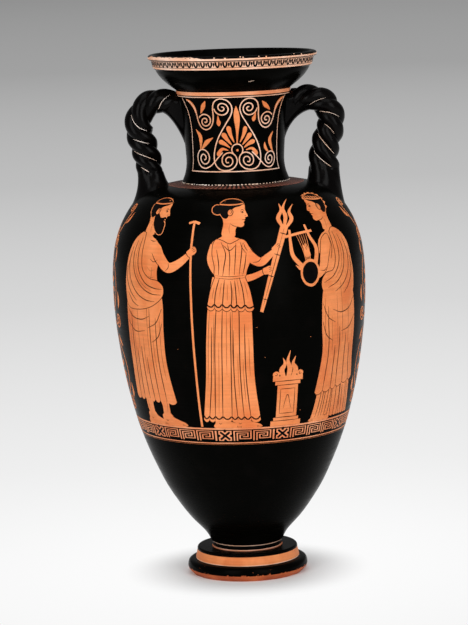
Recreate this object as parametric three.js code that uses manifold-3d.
// A tall two-handled storage jar with an offset neck, in millimetres, +Z up.
// The origin is the centre of the ring that the foot rests on, the front faces -Y,
// and the two rope handles stand on the +X and -X sides.

import * as THREE from 'three';
import { mergeVertices } from 'three/addons/utils/BufferGeometryUtils.js';
import Module from 'manifold-3d';

const wasm = await Module();
wasm.setup();

// Fits between pieces
const luting_gap = 0.3;          // left where two curved pieces of clay are joined
const overrun = 3;               // how far a handle's end is drawn into the wall before it is cut

// Steps round the wheel-made pieces, and along their round edges
const wheel_steps = 44;
const bulge_steps = 6;

// Foot: a disc on a rounded ring, hollow underneath
const foot_ring_radius = 66.9;
const foot_bulge_radius = 69.7;
const foot_bulge_height = 16;
const foot_side_low_radius = 59.5;
const foot_side_top_radius = 57.5;
const foot_height = 30;
const foot_edge_round = 1.2;
const foot_resting_width = 13;
const foot_hollow_height = 17;

// Fillet: the low round step between the foot and the body
const fillet_radius = 41;
const fillet_height = 7;

// Body, thrown in two parts that meet at the widest place
const body_base_radius = 41.5;
const body_max_radius = 145.7;
const lower_body_height = 298;
const body_wall = 8;
const body_floor = 14;
const shoulder_height = 122;

// Neck
const neck_base_radius = 62.5;
const neck_waist_radius = 56.2;
const neck_top_radius = 66;
const neck_height = 107;
const neck_wall = 7.5;

// Mouth: a rounded bowl, an upright band and an overhanging lip
const mouth_bowl_height = 24;
const mouth_bowl_radius = 88.6;
const mouth_band_height = 10.4;
const mouth_band_low_radius = 91;
const mouth_band_top_radius = 93;
const lip_radius = 97;
const lip_height = 6.6;
const mouth_wall = 7;

// Handles: ropes of three rolls of clay
const handle_bow = 11.5;         // how far the bend stands out past the place where the rope lands
const handle_headroom = 11.5;    // from the rope's centre line up to the mouth's base
const rope_radius = 15.5;
const roll_radius = 8.6;
const roll_count = 3;
const right_rope_lead = 55;      // length of rope for one turn of a roll
const left_rope_lead = 46;       // this rope was twisted a little tighter
const right_rope_start = 1.19;   // radians, where the first roll leaves the neck
const left_rope_start = 1.33;
const untwist_length = 15;       // the twist dies away over this length above the shoulder
const rope_steps = 38;
const roll_back_steps = 6;
const upper_root_width = 35;
const upper_root_drop = 50;      // how far the root runs down the neck below the rope
const upper_root_flare = 1.2;    // above 1 the root spreads mostly near the neck
const upper_root_reach = 15;     // length of the root from the neck to the rolls
const lower_root_width = 48;
const lower_root_reach = 13;     // length of the root from the rolls to the shoulder
const root_steps = 7;
const root_points = 24;

// Heights worked out from the sizes above
const fillet_base = foot_height;
const body_base = fillet_base + fillet_height;
const body_seam = body_base + lower_body_height;
const neck_base = body_seam + shoulder_height;
const mouth_base = neck_base + neck_height;
const handle_top = mouth_base - handle_headroom;

// Outlines as shares: the first number runs up the piece, the second is how much of the
// change in radius is done there
const lower_body_shares = [
  [0, 0], [0.037, 0.061], [0.101, 0.2265], [0.165, 0.36], [0.23, 0.475], [0.3, 0.572],
  [0.39, 0.681], [0.485, 0.7726], [0.613, 0.8666], [0.741, 0.9338], [0.865, 0.979], [1, 1],
];
const shoulder_shares = [
  [0, 0], [0.165, 0.001], [0.32, 0.018], [0.443, 0.05], [0.551, 0.097], [0.65, 0.158],
  [0.748, 0.24], [0.84, 0.34], [0.91, 0.456], [0.957, 0.61], [0.986, 0.8], [1, 1],
];
const neck_foot_shares = [[0, 0], [0.056, 0.43], [0.115, 0.76], [0.17, 0.93]];
const neck_waist_share = 0.229;
const neck_flare_shares = [[0.33, 0.05], [0.449, 0.143], [0.664, 0.32], [0.879, 0.66], [1, 1]];
const mouth_bowl_shares = [[0, 0], [0.15, 0.215], [0.36, 0.49], [0.6, 0.74], [0.85, 0.93], [1, 1]];

// Centre line of a rope handle. The first number runs from the neck's wall out to the far
// side of the bend, the second from the shoulder's top up to the top of the bend.
const handle_path_shares = [
  [-0.108, 0.95], [0.052, 0.978], [0.234, 0.995], [0.44, 1], [0.669, 0.957], [0.863, 0.868], [0.971, 0.755],
  [0.983, 0.64], [0.92, 0.52], [0.849, 0.4], [0.797, 0.28], [0.771, 0.16], [0.76, 0.04], [0.76, -0.07],
];

// Where the rope lands on the shoulder, as a share of the way from the neck to the widest place
const handle_landing_share = 0.445;

// How fast the floor of the jar closes inside, beside its height
const floor_slope_share = 1.6;

// Materials: black gloss slip and bare fired clay
const black_gloss = new THREE.MeshStandardMaterial({ color: 0x0b0a0a, roughness: 0.3, metalness: 0 });
const handle_gloss = new THREE.MeshStandardMaterial({ color: 0x151413, roughness: 0.35, metalness: 0 });
const fired_clay = new THREE.MeshStandardMaterial({ color: 0xe6874c, roughness: 0.6, metalness: 0 });

// Points between two rings, from a list of shares
function wallPoints(shares, low, high) {
  return shares.map(([up, out]) => new THREE.Vector2(
    low.x + (high.x - low.x) * out,
    low.y + (high.y - low.y) * up,
  ));
}

// The same line moved towards the axis by a thickness, each point along its own normal
function innerPoints(points, thickness) {
  return points.map((point, i) => {
    const before = points[Math.max(i - 1, 0)];
    const after = points[Math.min(i + 1, points.length - 1)];
    const along = after.clone().sub(before).normalize();
    return new THREE.Vector2(point.x - along.y * thickness, point.y + along.x * thickness);
  });
}

// The height at which a wall that closes towards the top has a radius
function heightOn(wall, radius) {
  const i = Math.max(wall.findIndex((point) => point.x < radius), 1);
  const [low, high] = [wall[i - 1], wall[i]];
  return low.y + (high.y - low.y) * (low.x - radius) / (low.x - high.x);
}

// The radius of a wall at a height
function radiusOn(wall, height) {
  const i = wall.findIndex((point) => point.y > height);
  const [low, high] = [wall[i - 1], wall[i]];
  return low.x + (high.x - low.x) * (height - low.y) / (high.y - low.y);
}

// A closed mesh as a solid that can be cut
function solidOf(geometry) {
  geometry.deleteAttribute('normal');
  geometry.deleteAttribute('uv');
  const merged = mergeVertices(geometry);
  const corners = merged.index.array;
  const kept = [];
  for (let i = 0; i < corners.length; i += 3) {
    const [a, b, c] = [corners[i], corners[i + 1], corners[i + 2]];
    if (a !== b && b !== c && c !== a) kept.push(a, b, c);
  }
  return new wasm.Manifold(new wasm.Mesh({
    numProp: 3,
    vertProperties: Float32Array.from(merged.attributes.position.array),
    triVerts: Uint32Array.from(kept),
  }));
}

function geometryOf(solid) {
  const mesh = solid.getMesh();
  const geometry = new THREE.BufferGeometry();
  geometry.setAttribute('position', new THREE.BufferAttribute(mesh.vertProperties, 3));
  geometry.setIndex(new THREE.BufferAttribute(mesh.triVerts, 1));
  geometry.computeVertexNormals();
  return geometry;
}

// A piece turned on the wheel: its outline goes up the outside and down the inside
function turned(outline) {
  const geometry = new THREE.LatheGeometry(outline, wheel_steps);
  geometry.rotateX(Math.PI / 2);
  return solidOf(geometry);
}

// A skin over rings of equally many points, closed at both ends. On the edges named in
// turned_edges the squares are split along their other diagonal.
function lofted(rings, turned_edges = []) {
  const count = rings[0].length;
  const points = rings.flat();
  const corners = [];
  for (let k = 0; k + 1 < rings.length; k++) {
    for (let j = 0; j < count; j++) {
      const next = (j + 1) % count;
      const [a, b, c, d] = [k * count + j, k * count + next, (k + 1) * count + next, (k + 1) * count + j];
      if (turned_edges.includes(j)) corners.push(a, b, d, b, c, d);
      else corners.push(a, b, c, a, c, d);
    }
  }
  for (const [k, turn] of [[0, true], [rings.length - 1, false]]) {
    const centre = new THREE.Vector3();
    rings[k].forEach((point) => centre.add(point));
    points.push(centre.divideScalar(count));
    for (let j = 0; j < count; j++) {
      const [a, b] = [k * count + j, k * count + (j + 1) % count];
      corners.push(points.length - 1, ...(turn ? [b, a] : [a, b]));
    }
  }
  const geometry = new THREE.BufferGeometry();
  geometry.setAttribute('position', new THREE.Float32BufferAttribute(points.flatMap((p) => p.toArray()), 3));
  geometry.setIndex(corners);
  return solidOf(geometry);
}

// Foot
function makeFoot() {
  const bulge = new THREE.EllipseCurve(
    foot_side_low_radius, foot_bulge_height * 0.5,
    foot_bulge_radius - foot_side_low_radius, foot_bulge_height * 0.5,
    -Math.PI / 4, Math.PI / 2,
  ).getPoints(bulge_steps);
  const outline = [
    new THREE.Vector2(0, foot_hollow_height),
    new THREE.Vector2((foot_ring_radius - foot_resting_width) * 0.6, foot_hollow_height * 0.85),
    new THREE.Vector2(foot_ring_radius - foot_resting_width, 0),
    new THREE.Vector2(foot_ring_radius - foot_edge_round * 2, 0),
    ...bulge,
    new THREE.Vector2(foot_side_top_radius, foot_height - foot_edge_round),
    new THREE.Vector2(foot_side_top_radius - foot_edge_round, foot_height),
    new THREE.Vector2(fillet_radius, foot_height),
    new THREE.Vector2(0, foot_height),
  ];
  return turned(outline);
}

function makeFillet() {
  const middle = fillet_base + fillet_height / 2;
  return turned([
    new THREE.Vector2(0, fillet_base),
    new THREE.Vector2(fillet_radius - foot_edge_round, fillet_base),
    new THREE.Vector2(fillet_radius, middle),
    new THREE.Vector2(fillet_radius - foot_edge_round, body_base),
    new THREE.Vector2(0, body_base),
  ]);
}

// Body
const lower_wall = wallPoints(
  lower_body_shares,
  new THREE.Vector2(body_base_radius, body_base),
  new THREE.Vector2(body_max_radius, body_seam),
);
const shoulder_wall = wallPoints(
  shoulder_shares,
  new THREE.Vector2(body_max_radius, body_seam),
  new THREE.Vector2(neck_base_radius, neck_base),
);

function makeLowerBody() {
  const floor = body_base + body_floor;
  const inside = innerPoints(lower_wall, body_wall).filter((point) => point.y > floor && point.y < body_seam);
  inside.push(new THREE.Vector2(body_max_radius - body_wall, body_seam));
  const floor_radius = inside[0].x - (inside[0].y - floor) * floor_slope_share;
  return turned([
    new THREE.Vector2(0, body_base),
    ...lower_wall,
    ...inside.reverse(),
    new THREE.Vector2(floor_radius, floor),
    new THREE.Vector2(0, floor),
  ]);
}

function makeShoulder() {
  const bore = neck_base_radius - neck_wall;
  const widest = body_max_radius - body_wall;
  const inside = innerPoints(shoulder_wall, body_wall)
    .filter((point) => point.y > body_seam && point.x > bore + body_wall * 0.5 && point.x < widest);
  return turned([
    new THREE.Vector2(widest, body_seam),
    ...shoulder_wall,
    new THREE.Vector2(bore, neck_base),
    new THREE.Vector2(bore, neck_base - body_wall * 0.9),
    ...inside.reverse(),
    new THREE.Vector2(widest, body_seam),
  ]);
}

// Neck
const neck_waist = new THREE.Vector2(neck_waist_radius, neck_base + neck_height * neck_waist_share);
const neck_wall_line = [
  ...wallPoints(
    neck_foot_shares.map(([up, out]) => [up / neck_waist_share, out]),
    new THREE.Vector2(neck_base_radius, neck_base),
    neck_waist,
  ),
  neck_waist,
  ...wallPoints(
    neck_flare_shares,
    new THREE.Vector2(neck_waist_radius, neck_base),
    new THREE.Vector2(neck_top_radius, mouth_base),
  ),
];

function makeNeck() {
  const inside = neck_wall_line.map((point) => new THREE.Vector2(point.x - neck_wall, point.y));
  const outline = [...neck_wall_line, ...inside.reverse()];
  return turned([...outline, outline[0].clone()]);
}

// Mouth
const bowl_top = mouth_base + mouth_bowl_height;
const mouth_bowl_line = wallPoints(
  mouth_bowl_shares,
  new THREE.Vector2(neck_top_radius, mouth_base),
  new THREE.Vector2(mouth_bowl_radius, bowl_top),
);

function makeMouth() {
  const band_top = bowl_top + mouth_band_height;
  const rim_top = band_top + lip_height;
  const overhang = lip_radius - mouth_band_top_radius;
  const inside = wallPoints(
    mouth_bowl_shares,
    new THREE.Vector2(neck_top_radius - neck_wall, mouth_base),
    new THREE.Vector2(mouth_bowl_radius - mouth_wall, bowl_top + mouth_wall * 0.4),
  );
  const outline = [
    ...mouth_bowl_line,
    new THREE.Vector2(mouth_band_low_radius, bowl_top + mouth_band_height * 0.12),
    new THREE.Vector2(mouth_band_top_radius, band_top),
    new THREE.Vector2(lip_radius - overhang * 0.15, band_top + lip_height * 0.18),
    new THREE.Vector2(lip_radius, band_top + lip_height * 0.5),
    new THREE.Vector2(lip_radius - overhang * 0.25, band_top + lip_height * 0.85),
    new THREE.Vector2(lip_radius - overhang, rim_top),
    new THREE.Vector2(lip_radius - overhang - mouth_wall * 0.4, rim_top - lip_height * 0.12),
    ...inside.reverse(),
  ];
  return turned([...outline, outline[0].clone()]);
}

// Handles, made on the +X side
const handle_start = radiusOn(neck_wall_line, handle_top);
const handle_landing = neck_base_radius + (body_max_radius - neck_base_radius) * handle_landing_share;
const handle_reach = handle_landing + handle_bow;
const handle_path = new THREE.CatmullRomCurve3(handle_path_shares.map(([out, up]) => new THREE.Vector3(
  handle_start + (handle_reach - handle_start) * out,
  0,
  neck_base + (handle_top - neck_base) * up,
)), false, 'centripetal');
const path_length = handle_path.getLength();

// The rolls start where the upper root ends and stop where the lower root begins
const rolls_from = upper_root_reach / path_length;
const rolls_to = 1 - (lower_root_reach + (neck_base - handle_path.getPointAt(1).z)) / path_length;

// Place and directions across the handle at a share of its length
function handleFrame(share) {
  const along = handle_path.getTangentAt(share);
  const side = new THREE.Vector3(0, 1, 0);
  return { centre: handle_path.getPointAt(share), up: side.clone().cross(along).normalize(), side };
}

// How far the rolls of a rope have turned at a share of the handle's length
function twistAt(rope, share) {
  const left = (rolls_to - share) * path_length;
  const wound = (share - rolls_from) * path_length;
  const lost = left < untwist_length ? (untwist_length - left) ** 2 / (2 * untwist_length) : 0;
  return rope.start - 2 * Math.PI * (wound - lost) / rope.lead;
}

// Distance from the rope's centre to its skin, at an angle from the middle of a roll
const roll_offset = rope_radius - roll_radius;
function rollSkin(angle) {
  const across = roll_offset * Math.sin(angle);
  return roll_offset * Math.cos(angle) + Math.sqrt(roll_radius ** 2 - across ** 2);
}

// Section of one roll: a wedge from the rope's centre with a rounded back
function rollSection() {
  const half = Math.PI / roll_count;
  const tip = new THREE.Vector2(luting_gap / 2 / Math.sin(half), 0);
  const points = [tip];
  const edge = Math.asin(luting_gap / 2 / rollSkin(half));
  for (let i = 0; i <= roll_back_steps; i++) {
    const share = (2 * i) / roll_back_steps - 1;
    const angle = share * (half - edge);
    points.push(new THREE.Vector2(Math.cos(angle), Math.sin(angle)).multiplyScalar(rollSkin(angle)));
  }
  return points;
}

function placed(frame, x, y) {
  return frame.centre.clone().addScaledVector(frame.up, x).addScaledVector(frame.side, y);
}

function makeRoll(rope, index) {
  const section = rollSection();
  const rings = [];
  for (let k = 0; k <= rope_steps; k++) {
    const share = rolls_from + (rolls_to - rolls_from) * k / rope_steps;
    const frame = handleFrame(share);
    const angle = twistAt(rope, share) + index * 2 * Math.PI / roll_count;
    rings.push(section.map((point) => {
      const turnedPoint = point.clone().rotateAround(new THREE.Vector2(), angle);
      return placed(frame, turnedPoint.x, turnedPoint.y);
    }));
  }
  return lofted(rings, [section.length - 1]).subtract(jar_cutter);
}

// The skin of the whole rope at an angle, for the roots that take over from the rolls
function ropeSkin(angle, twist) {
  const pitch = 2 * Math.PI / roll_count;
  const from_roll = angle - twist;
  return rollSkin(from_roll - Math.round(from_roll / pitch) * pitch);
}

// One ring of a root. fade is 0 where the rolls end and 1 where they have melted away.
function rootRing(frame, twist, fade, half_up, half_down, half_wide) {
  const ring = [];
  for (let j = 0; j < root_points; j++) {
    const angle = 2 * Math.PI * j / root_points;
    const skin = (1 - fade) * ropeSkin(angle, twist) / rope_radius + fade;
    const x = Math.cos(angle);
    const half = x < 0 ? half_up : half_down;
    ring.push(placed(frame, x * skin * half, Math.sin(angle) * skin * half_wide));
  }
  return ring;
}

// The jar's outside, a little enlarged: what a handle is fitted to
const jar_cutter = turned([
  new THREE.Vector2(0, body_seam),
  ...innerPoints(shoulder_wall, -luting_gap).slice(0, -1),
  ...innerPoints(neck_wall_line, -luting_gap).slice(1, -1),
  ...innerPoints(mouth_bowl_line, -luting_gap),
  new THREE.Vector2(0, bowl_top),
]);

// The upper root: a web that spreads down the neck
function makeUpperRoot(rope) {
  const rings = [];
  const start = rolls_from - luting_gap / path_length;
  const frame = handleFrame(start);
  const wall_x = radiusOn(neck_wall_line, frame.centre.z - upper_root_drop);
  const end_x = Math.sqrt(wall_x ** 2 - (upper_root_width / 2) ** 2) - overrun;
  const headroom = mouth_base - luting_gap - frame.centre.z;
  for (let k = 0; k <= root_steps; k++) {
    const share = k / root_steps;
    const spread = share ** upper_root_flare;
    const place = {
      centre: frame.centre.clone(),
      up: frame.up.clone().lerp(new THREE.Vector3(0, 0, -1), share).normalize(),
      side: frame.side,
    };
    place.centre.x += (end_x - frame.centre.x) * share;
    const half_up = rope_radius + (headroom - rope_radius) * share;
    const half_down = rope_radius + upper_root_drop * spread;
    const half_wide = rope_radius + (upper_root_width / 2 - rope_radius) * share;
    const fade = Math.min(1, share * 1.5);
    rings.push(rootRing(place, twistAt(rope, rolls_from), fade, half_up, half_down, half_wide));
  }
  return lofted(rings.reverse()).subtract(jar_cutter);
}

// The lower root: a collar that spreads onto the shoulder
function makeLowerRoot(rope) {
  const rings = [];
  const start = rolls_to + luting_gap / path_length;
  const frame = handleFrame(start);
  const end_z = heightOn(shoulder_wall, frame.centre.x + lower_root_width / 2) - overrun;
  for (let k = 0; k <= root_steps; k++) {
    const share = k / root_steps;
    const place = {
      centre: frame.centre.clone(),
      up: frame.up.clone().lerp(new THREE.Vector3(-1, 0, 0), share).normalize(),
      side: frame.side,
    };
    place.centre.z += (end_z - frame.centre.z) * share;
    const half = rope_radius + (lower_root_width / 2 - rope_radius) * share;
    rings.push(rootRing(place, twistAt(rope, rolls_to), Math.min(1, share * 1.2), half, half, half));
  }
  return lofted(rings).subtract(jar_cutter);
}

// The jar
const amphora = new THREE.Group();

function addPiece(parent, name, solid, material) {
  const mesh = new THREE.Mesh(geometryOf(solid), material);
  mesh.name = name;
  parent.add(mesh);
}

addPiece(amphora, 'foot', makeFoot(), fired_clay);
addPiece(amphora, 'foot_fillet', makeFillet(), black_gloss);
addPiece(amphora, 'lower_body', makeLowerBody(), black_gloss);
addPiece(amphora, 'shoulder', makeShoulder(), black_gloss);
addPiece(amphora, 'neck', makeNeck(), black_gloss);
addPiece(amphora, 'mouth', makeMouth(), black_gloss);

const ropes = [
  { side: 'right', turn: 0, lead: right_rope_lead, start: right_rope_start },
  { side: 'left', turn: Math.PI, lead: left_rope_lead, start: left_rope_start },
];
for (const rope of ropes) {
  const handle = new THREE.Group();
  handle.rotation.z = rope.turn;
  for (let i = 0; i < roll_count; i++) {
    addPiece(handle, `${rope.side}_handle_roll_${i + 1}`, makeRoll(rope, i), handle_gloss);
  }
  addPiece(handle, `${rope.side}_handle_upper_root`, makeUpperRoot(rope), handle_gloss);
  addPiece(handle, `${rope.side}_handle_lower_root`, makeLowerRoot(rope), handle_gloss);
  amphora.add(handle);
}

export default amphora;
